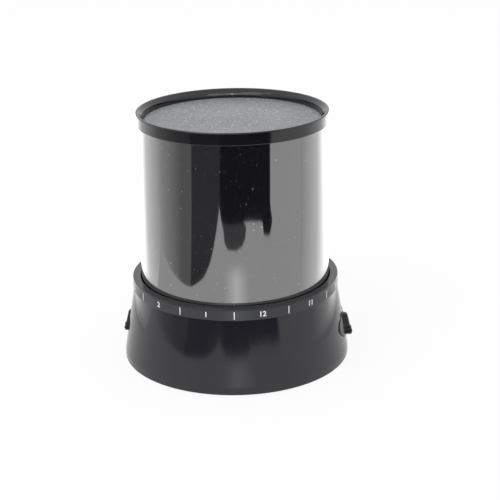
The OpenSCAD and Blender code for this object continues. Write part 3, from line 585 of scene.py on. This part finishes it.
def lip_mesh():
    """The lip that keeps the button behind its window."""
    outline = shield(LIP_PROUD)
    return solid_from_sections("lip", [on_wall(outline, -WALL - 1.7, SKIRT_R),
                                       on_wall(outline, -WALL - 0.3, SKIRT_R + 0.5)])


def boss_mesh():
    """The tube that takes the plunger, along +X."""
    outline = [(BOSS_BORE_R, BOSS_BACK), (BOSS_R, BOSS_BACK),
               (BOSS_R, BOSS_FRONT), (BOSS_BORE_R, BOSS_FRONT)]
    mesh = lathe_mesh("boss", outline, ROUND_SEGMENTS)
    mesh.transform(Matrix.Translation((0, 0, SWITCH_Z * MM)) @ Matrix.Rotation(pi / 2, 4, "Y"))
    return mesh


def nose_proud(z):
    """How far the nose stands out of the wall at a height."""
    share = (z - BUTTON_LOW) / (BUTTON_HIGH - BUTTON_LOW)
    return NOSE_LOW + (NOSE_HIGH - NOSE_LOW) * share


def nose_loop(z, root, crest, out):
    """A level slice of the nose: half widths of its root and crest, and how far it stands out."""
    wall = wall_r(z)
    rounding_x = wall + out - NOSE_ROUNDING
    rounding_y = NOSE_ROUNDING - crest
    points = [(wall - 0.9, -root), (wall + 0.2, -root)]
    for degree in (-75, -50, -25, 0):
        a = radians(degree)
        points.append((rounding_x + NOSE_ROUNDING * cos(a), rounding_y + NOSE_ROUNDING * sin(a)))
    points += [(x, -y) for x, y in reversed(points)]
    return [Vector((x, y, z)) * MM for x, y in points]


def nose_mesh():
    """The nose, narrowed and rounded at both ends. Its sections are (height, half width of the
    root, how far the face falls back)."""
    low = BUTTON_LOW + 0.3
    high = BUTTON_HIGH - 0.3
    sections = ((low, NOSE_CREST, 0.5), (low + 0.12, 1.6, 0.22), (low + 0.5, 2.4, 0),
                (low + 1.2, NOSE_ROOT, 0), (high - 1.5, NOSE_ROOT, 0), (high - 0.5, 2.9, 0),
                (high - 0.12, 2.5, 0.22), (high, 2.3, 0.5))
    return solid_from_sections("nose", [nose_loop(z, root, NOSE_CREST, nose_proud(z) - drop)
                                        for z, root, drop in sections])


def ridge_mesh(z):
    """One grip ridge across the nose, with its edges drawn in by an inset."""
    loops = []
    for step, inset in ((-0.5, 0.15), (-0.35, 0), (0.35, 0), (0.5, 0.15)):
        level = z + step * RIDGE_H
        grown = RIDGE_PROUD - inset
        loops.append(nose_loop(level, NOSE_ROOT + grown, NOSE_CREST + grown, nose_proud(z) + grown))
    return solid_from_sections("ridge", loops)


def build_buttons():
    """Three equal buttons; each is made pointing along +X and turned to its side."""
    for side, angle in BUTTONS.items():
        pressed = BUTTON_TRAVEL if side in LATCHED else 0
        mesh = join_meshes("button", [shield_mesh(), lip_mesh(), boss_mesh(), nose_mesh()]
                           + [ridge_mesh(z) for z in RIDGES])
        mesh.transform(Matrix.Translation((-pressed * MM, 0, 0)))
        piece = make_object("push_" + side, turned(mesh, angle - 90), materials["button_black"],
                            side + "_button", 50)
        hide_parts("button_" + side)


# ---------------------------------------------------------------- base

MONTHS = 12
MONTH_ANGLE = 360 / MONTHS
PRINT_PROUD = 0.03
TICK_W = 0.4
TICK_LOW = STRIP_LOW + 0.7
TICK_HIGH = STRIP_HIGH - 0.6
NUMBER_H = 2.6
NUMBER_WEIGHT = 0.06            # how far the figures' outlines are thickened
FIGURE_SHARE = 0.7              # a figure's height, as a share of the font's size
JACK_ANGLE = 151
JACK_Z = FOOT + 14
JACK_HOLE_R = 4.35
JACK_HOLE_START = 40            # from the axis


def build_housing():
    """The housing: a revolved shell, then the buttons' windows and the socket's hole."""
    outline = fillet(
        [(BASE_R - WALL, FOOT), (BASE_R, FOOT), (LIP_R, LIP_Z), (CONE_TOP_R, CONE_TOP_Z),
         (COLLAR_R, CONE_TOP_Z + 0.02), (COLLAR_R, STRIP_LEDGE_Z), (STRIP_R, STRIP_LEDGE_Z),
         (STRIP_R, SHOULDER_Z), (RECESS_R, SHOULDER_Z), (RECESS_R, CEILING_Z), (LEDGE_R, CEILING_Z),
         (LEDGE_R, LEDGE_Z), (inside_r(LEDGE_Z), LEDGE_Z), (inside_r(SEAT_Z + SEAT_H), SEAT_Z + SEAT_H),
         (BASE_R - WALL - SEAT_W, SEAT_Z + SEAT_H), (BASE_R - WALL - SEAT_W, SEAT_Z),
         (BASE_R - WALL, SEAT_Z)],
        [0.2, 0.5, 0.8, 0.1, 0, 0, 0.1, 0.6, 0.4, 0, 0.2, 0.2, 0.8, 0.2, 0.2, 0.1, 0])
    housing = lathe("housing_shell", outline, materials["black_gloss"], "base")
    window = bar_mesh(shield(BUTTON_GAP), SKIRT_R - 2, BASE_R + 2)
    cutters = [turned(window, angle - 90) for angle in BUTTONS.values()]
    hole = rod_mesh(JACK_HOLE_R, JACK_HOLE_START, BASE_R + 2)
    hole.transform(Matrix.Translation((0, 0, JACK_Z * MM)) @ Matrix.Rotation(pi / 2, 4, "Y"))
    cutters.append(turned(hole, JACK_ANGLE - 90))
    cut_out(housing, cutters)
    piece = make_object("housing_shell_finished", housing.data, materials["black_gloss"], "base")
    bpy.data.objects.remove(housing)
    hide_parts("base_housing")


def strip_point(azimuth, z, radius):
    """A point on the collar; azimuth in degrees from the front, towards +X."""
    a = radians(azimuth)
    return Vector((radius * sin(a), -radius * cos(a), z)) * MM


def strip_section(azimuth, inner, outer, low, high):
    """Four corners of an upright section through something laid on the collar."""
    corners = ((inner, low), (outer, low), (outer, high), (inner, high))
    return [strip_point(azimuth, z, radius) for radius, z in corners]


def build_strip():
    """The strip round the collar, with the end that lies over its start."""
    back = COLLAR_R + 0.01
    ring = lathe_mesh("strip", fillet(
        [(back, STRIP_LOW), (STRIP_R, STRIP_LOW), (STRIP_R, STRIP_HIGH), (back, STRIP_HIGH)],
        [0, 0.06, 0.06, 0], 3))
    low = STRIP_LOW + 0.02
    high = STRIP_HIGH - 0.02
    steps = 12
    loops = []
    for step in range(steps + 1):
        azimuth = SEAM_AZIMUTH + OVERLAP_ANGLE * step / steps
        loops.append(strip_section(azimuth, STRIP_R - 0.05, STRIP_R + OVERLAP_T, low, high))
    mesh = join_meshes("month_scale", [ring, solid_from_sections("overlap", loops)])
    piece = make_object("month_scale", mesh, materials["strip_print"], "base")
    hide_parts("month_strip")
    add_month_print()


def add_month_print():
    """Twelve ticks with plain numbers between them, counted to the left of the seam."""
    half = degrees(TICK_W / 2 / STRIP_R)
    meshes = []
    for month in range(MONTHS):
        azimuth = SEAM_AZIMUTH - MONTH_ANGLE * month
        radius = STRIP_R + (OVERLAP_T if month == 0 else 0)
        loops = [strip_section(azimuth + side * half, radius, radius + PRINT_PROUD, TICK_LOW, TICK_HIGH)
                 for side in (-1, 1)]
        meshes.append(solid_from_sections("tick", loops))
        meshes.append(wrapped_number(month + 1, azimuth - MONTH_ANGLE / 2))
    piece = make_object("month_numbers", join_meshes("month_numbers", meshes), materials["print_white"],
                        "base")


def wrapped_number(number, azimuth):
    """A number laid round the strip, in millimetres."""
    curve = bpy.data.curves.new("number", "FONT")
    curve.body = str(number)
    curve.size = NUMBER_H / FIGURE_SHARE
    curve.align_x = "CENTER"
    curve.align_y = "CENTER"
    curve.extrude = PRINT_PROUD / 2
    curve.offset = NUMBER_WEIGHT
    curve.resolution_u = 6
    holder = bpy.data.objects.new("number", curve)
    bpy.context.scene.collection.objects.link(holder)
    bpy.context.view_layer.update()
    mesh = bpy.data.meshes.new_from_object(holder.evaluated_get(bpy.context.evaluated_depsgraph_get()))
    bpy.data.objects.remove(holder)
    for vertex in mesh.vertices:
        x, y, depth = vertex.co
        vertex.co = strip_point(azimuth + degrees(x / STRIP_R), (TICK_LOW + TICK_HIGH) / 2 + y,
                                STRIP_R + PRINT_PROUD / 2 + depth)
    return mesh


# ---------------------------------------------------------------- cover and dome

def build_cover():
    """The tube, the rim that closes it, and the disc inside the rim."""
    foot_z = DECK_Z + OVER_DECK
    top_z = RIM_Z - 0.05
    shell = lathe("cover_tube", fillet(
        [(COVER_FOOT_R - COVER_WALL, foot_z), (COVER_FOOT_R, foot_z), (COVER_FOOT_R, SHOULDER_Z),
         (COVER_TOP_R, top_z), (COVER_TOP_R - COVER_WALL, top_z), (COVER_FOOT_R - COVER_WALL, SHOULDER_Z)],
        [0.3, 0.3, 3, 0, 0, 3]), materials["smoked_mirror"], "cover", COVER_SEGMENTS)
    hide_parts("cover_shell")
    spigot_in = SPIGOT_R - SPIGOT_WALL
    spigot_foot = RIM_Z - SPIGOT_H
    seat_r = DISC_R + DISC_GAP
    seat_z = DISC_TOP - DISC_T - DISC_GAP
    rim = lathe("cover_ring", fillet(
        [(spigot_in, spigot_foot), (SPIGOT_R, spigot_foot), (SPIGOT_R, RIM_Z), (RIM_R, RIM_Z),
         (RIM_R, RIM_TOP), (RIM_CREST_R, RIM_TOP), (RIM_THROAT_R, RIM_THROAT_Z), (seat_r, DISC_TOP),
         (seat_r, seat_z), (spigot_in, seat_z)],
        [0.2, 0.2, 0, 0.4, 1.4, 1.0, 0.8, 0, 0, 0.2], 8), materials["rim_black"], "cover", COVER_SEGMENTS)
    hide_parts("cover_rim")
    disc = lathe("cover_top", fillet(
        [(0, DISC_TOP - DISC_T), (DISC_R, DISC_TOP - DISC_T), (DISC_R, DISC_TOP), (0, DISC_TOP)],
        [0, 0.1, 0.15, 0], 3), materials["disc_grey"], "cover", COVER_SEGMENTS)
    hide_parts("cover_disc")


def dome_curve(radius, steps=24):
    """A quarter circle from the dome's widest level up to its top."""
    angles = [pi / 2 * k / steps for k in range(steps)]
    points = [(radius * cos(a), DOME_CENTRE_Z + radius * sin(a)) for a in angles]
    return points + [(0, DOME_CENTRE_Z + radius)]


def build_dome():
    """The star dome and the ring that it turns with."""
    hollow_r = DOME_R - DOME_WALL
    foot = [(hollow_r, DOME_FOOT_Z), (DOME_R, DOME_FOOT_Z)]
    outline = foot + dome_curve(DOME_R) + dome_curve(hollow_r)[::-1]
    dome = lathe("dome_shell", outline, materials["dome_print"], "dome")
    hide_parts("star_dome")
    ring_in = DOME_R - 2.4
    ring_out = DOME_R + 3.6
    sleeve_in = DOME_R + 0.05
    sleeve_out = DOME_R + 1.45
    sleeve_top = DOME_FOOT_Z + 5
    ring = lathe_mesh("ring", fillet(
        [(ring_in, RING_Z), (ring_out, RING_Z), (ring_out, DOME_FOOT_Z), (sleeve_out, DOME_FOOT_Z),
         (sleeve_out, sleeve_top), (sleeve_in, sleeve_top), (sleeve_in, DOME_FOOT_Z),
         (ring_in, DOME_FOOT_Z)],
        [0.3, 0.3, 0.3, 0.3, 0.4, 0.2, 0, 0.2], 3))
    pointer = box_mesh((-1.5, -sleeve_out - 0.5, DOME_FOOT_Z), (1.5, -sleeve_out + 0.3, sleeve_top))
    piece = make_object("dome_turning_ring", join_meshes("dome_turning_ring", [ring, pointer]),
                        materials["ring_black"], "dome")
    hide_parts("dome_ring")


# ---------------------------------------------------------------- stage and light

WHITE = (1, 1, 1)
DARK = (0.01, 0.01, 0.012)
LOBE_GREY = (0.13, 0.13, 0.14)
BAND_GREY = (0.08, 0.08, 0.09)
WALL_CREAM = (0.97, 1.0, 0.86)
# Outlines, in millimetres on the table, of what the mirrored cover shows round the object.
DARK_TABLE = ((-75, -385), (-58, -352), (-38, -346), (62, -342), (96, -339), (148, -318), (192, -288),
              (206, -274), (191, -246), (200, -235), (216, -218), (256, -226), (282, -266), (447, -389),
              (700, -420), (1500, -900), (1500, -1900), (-150, -1900), (-100, -614))
DARK_LOBE = ((-58, -352), (-38, -325), (-30, -298), (-12, -283), (34, -279), (66, -283), (88, -294),
             (106, -318), (96, -339), (62, -342), (-38, -346))
DARK_BAND = ((-75, -385), (-100, -614), (-150, -1900), (-1000, -1900), (-415, -430), (-195, -205),
             (-133, -141), (-104, -193), (-92, -235))
GREY_CARD = ((-133, -141), (-195, -205), (-415, -430), (-1000, -1900), (-1900, -1500), (-1900, 230),
             (-250, -10), (-215, -55), (-182, -92))
LEFT_SHEET = ((-250, -10), (-1900, 230), (-1900, 1900), (0, 1900), (0, 150), (-100, 90), (-130, 0))
RIGHT_SHEET = ((150, -40), (1900, 230), (1900, 1900), (0, 1900), (0, 150), (100, 90), (130, 0))
# The streak is a painted highlight on the sheet: it stands for the highlight of a lamp near the camera.
HIGHLIGHT_STREAK = ((-18, -95), (42, -95), (118, -262), (-52, -262))
STREAK_AZIMUTH = 6.5            # degrees, as its width to each side
STREAK_WIDTH = 13.0
STREAK_EXTRA = 0.7              # how much brighter than the sheet its middle is
STREAK_FAR = (222, 255)         # from where to where it fades out, away from the object
CARD_Z = 0.3                    # the cards' height over the table
# The sheets' brightness follows the angle round a point beside the object, in steps.
SHEET_CENTRE = (60, -60)
SHEET_START = 0.3
SHEET_STEPS = ((-30, 0, 0.42), (0, 14, 0.28), (14, 45, 0.65), (45, 62, 1.3), (62, 80, 0.6))
LEFT_BRIGHTNESS = 1.12
NEAR_R = 125                    # between these two the object's own darkening fades
FAR_R = 165
NEAR_BRIGHTNESS = 0.55
# The room behind the camera, in millimetres.
ROOM_Y = -1300
ROOM_ACROSS = (-850, 1000)
DARK_HEIGHTS = (0, 250)
LIT_HEIGHTS = (250, 480)
LIT_STRENGTH = 2.5
SPOT_ACROSS = (90, 160)
SPOT_HEIGHTS = (290, 340)
SPOT_STRENGTH = 14
# The floor and the lights, in metres.
FLOOR_SIZE = 6.0
FLOOR_COLOUR = (0.9, 0.9, 0.9)
PLAIN_SHARE = 0.9               # how much of the floor is plain white where it is seen
SKY_STRENGTH = 0.95
KEY_SIZE = (0.5, 0.35)
KEY_POWER = 2.0
KEY_PLACE = (-0.35, -0.5, 0.75)
KEY_AIM = (0, 0, 0.06)


def stage_material(name, colour, brightness=None):
    """A self-lit card; brightness may be a function that adds the nodes of a shaded card."""
    m = Nodes(name)
    m.tree.nodes.remove(m.shader)
    glow = m.new("ShaderNodeEmission")
    glow.inputs["Color"].default_value = (*colour, 1)
    if brightness:
        m.link(brightness(m), glow.inputs["Strength"])
    m.link(glow.outputs[0], m.tree.nodes["Material Output"].inputs["Surface"])
    return m.material


def angle_round(m, x, y):
    """Angle in degrees round a point of the table given in millimetres, from the sideways
    direction towards the back; both sides of the table count alike."""
    split = m.new("ShaderNodeSeparateXYZ")
    m.link(m.coordinates, split.inputs[0])
    aside = m.math("SUBTRACT", m.math("ABSOLUTE", split.outputs["X"]), x * MM)
    behind = m.math("SUBTRACT", split.outputs["Y"], y * MM)
    return m.math("MULTIPLY", m.math("ARCTAN2", behind, aside), 180 / pi)


def reach(m):
    """Distance from the object's axis, for a card on the table."""
    node = m.new("ShaderNodeVectorMath", operation="LENGTH")
    m.link(m.coordinates, node.inputs[0])
    return node.outputs["Value"]


def side_brightness(m):
    """The sheet beside and behind the object is lit more strongly than the sheet in front,
    and the object darkens the sheet next to itself."""
    angle = angle_round(m, *SHEET_CENTRE)
    total = SHEET_START - NEAR_BRIGHTNESS
    for start, end, step in SHEET_STEPS:
        total = m.math("ADD", m.ramp(angle, start, end, 0.0, step), total)
    away = m.ramp(reach(m), NEAR_R * MM, FAR_R * MM)
    return m.math("ADD", m.math("MULTIPLY", total, away), NEAR_BRIGHTNESS)


def streak_brightness(m):
    """A painted highlight: a soft bright streak on the sheet, in the direction of the camera, that the
    mirrored surfaces show as a lamp's highlight.
    """
    split = m.new("ShaderNodeSeparateXYZ")
    m.link(m.coordinates, split.inputs[0])
    ahead = m.math("MULTIPLY", split.outputs["Y"], -1)
    azimuth = m.math("MULTIPLY", m.math("ARCTAN2", split.outputs["X"], ahead), 180 / pi)
    off_axis = m.math("ABSOLUTE", m.math("SUBTRACT", azimuth, STREAK_AZIMUTH))
    across = m.ramp(off_axis, 0.0, STREAK_WIDTH, STREAK_EXTRA, 0.0)
    along = m.ramp(reach(m), STREAK_FAR[0] * MM, STREAK_FAR[1] * MM, 1.0, 0.0)
    return m.math("ADD", m.math("MULTIPLY", across, along), 1.0)


def seen_directly(m):
    """1 for camera, glossy and transmission rays."""
    path = m.new("ShaderNodeLightPath")
    total = path.outputs["Is Camera Ray"]
    for name in ("Is Glossy Ray", "Is Transmission Ray"):
        total = m.math("MAXIMUM", total, path.outputs[name])
    return total


def add_floor():
    """White floor: mostly plain white where it is seen, with a trace of the object's shadow."""
    bpy.ops.mesh.primitive_plane_add(size=FLOOR_SIZE)
    floor = bpy.context.object
    floor.name = "floor"
    m = Nodes("floor_white")
    m.tree.nodes.remove(m.shader)
    paper = m.new("ShaderNodeBsdfDiffuse")
    paper.inputs["Color"].default_value = (*FLOOR_COLOUR, 1)
    glow = m.new("ShaderNodeEmission")
    mix = m.new("ShaderNodeMixShader")
    m.link(m.math("MULTIPLY", seen_directly(m), PLAIN_SHARE), mix.inputs["Fac"])
    m.link(paper.outputs[0], mix.inputs[1])
    m.link(glow.outputs[0], mix.inputs[2])
    m.link(mix.outputs[0], m.tree.nodes["Material Output"].inputs["Surface"])
    floor.data.materials.append(m.material)


def add_card(name, corners, colour, brightness=None):
    """A flat card that only mirror-like surfaces see, as the studio beyond the white sheet."""
    mesh = bpy.data.meshes.new(name)
    mesh.from_pydata([Vector(c) * MM for c in corners], [], [range(len(corners))])
    card = bpy.data.objects.new(name, mesh)
    card.data.materials.append(stage_material(name, colour, brightness))
    bpy.context.scene.collection.objects.link(card)
    card.visible_camera = False
    card.visible_diffuse = False
    card.visible_shadow = False
    card.visible_transmission = False


def add_floor_card(name, outline, colour, brightness=None):
    """A card that lies on the table."""
    add_card(name, [(x, y, CARD_Z) for x, y in outline], colour, brightness)


def add_wall_card(name, across, heights, colour, nearer=0):
    """An upright card in the room behind the camera."""
    (left, right), (low, high) = across, heights
    y = ROOM_Y + nearer
    add_card(name, ((left, y, low), (right, y, low), (right, y, high), (left, y, high)), colour)


def add_lights():
    """An even white surrounding and one soft lamp at the upper left."""
    world = bpy.data.worlds.new("studio")
    bpy.context.scene.world = world
    world.use_nodes = True
    background = world.node_tree.nodes["Background"]
    background.inputs["Color"].default_value = (*WHITE, 1)
    background.inputs["Strength"].default_value = SKY_STRENGTH
    lamp = bpy.data.lights.new("soft_key", "AREA")
    lamp.shape = "RECTANGLE"
    lamp.size, lamp.size_y = KEY_SIZE
    lamp.energy = KEY_POWER
    key = bpy.data.objects.new("soft_key", lamp)
    key.location = KEY_PLACE
    key.rotation_euler = (Vector(KEY_AIM) - key.location).to_track_quat("-Z", "Y").to_euler()
    bpy.context.scene.collection.objects.link(key)


def add_stage():
    """The floor, the lights, and the cards that give the object its reflections."""
    add_floor()
    add_lights()
    add_floor_card("dark_table", DARK_TABLE, DARK)
    add_floor_card("dark_lobe", DARK_LOBE, LOBE_GREY)
    add_floor_card("dark_band", DARK_BAND, BAND_GREY)
    add_floor_card("grey_card", GREY_CARD, WHITE, side_brightness)
    add_floor_card("left_sheet", LEFT_SHEET, scaled(WHITE, LEFT_BRIGHTNESS), side_brightness)
    add_floor_card("right_sheet", RIGHT_SHEET, WHITE, side_brightness)
    # The streak card carries the painted highlight.
    add_floor_card("streak", HIGHLIGHT_STREAK, WHITE, streak_brightness)
    add_wall_card("dark_room", ROOM_ACROSS, DARK_HEIGHTS, DARK)
    add_wall_card("lit_wall", ROOM_ACROSS, LIT_HEIGHTS, scaled(WALL_CREAM, LIT_STRENGTH))
    add_wall_card("spot_lamp", SPOT_ACROSS, SPOT_HEIGHTS, scaled(WHITE, SPOT_STRENGTH), nearer=5)


add_camera()
dress_cad_nodes()
build_housing()
build_strip()
build_buttons()
build_cover()
build_dome()
add_stage()

bpy.context.scene.view_settings.view_transform = "Standard"
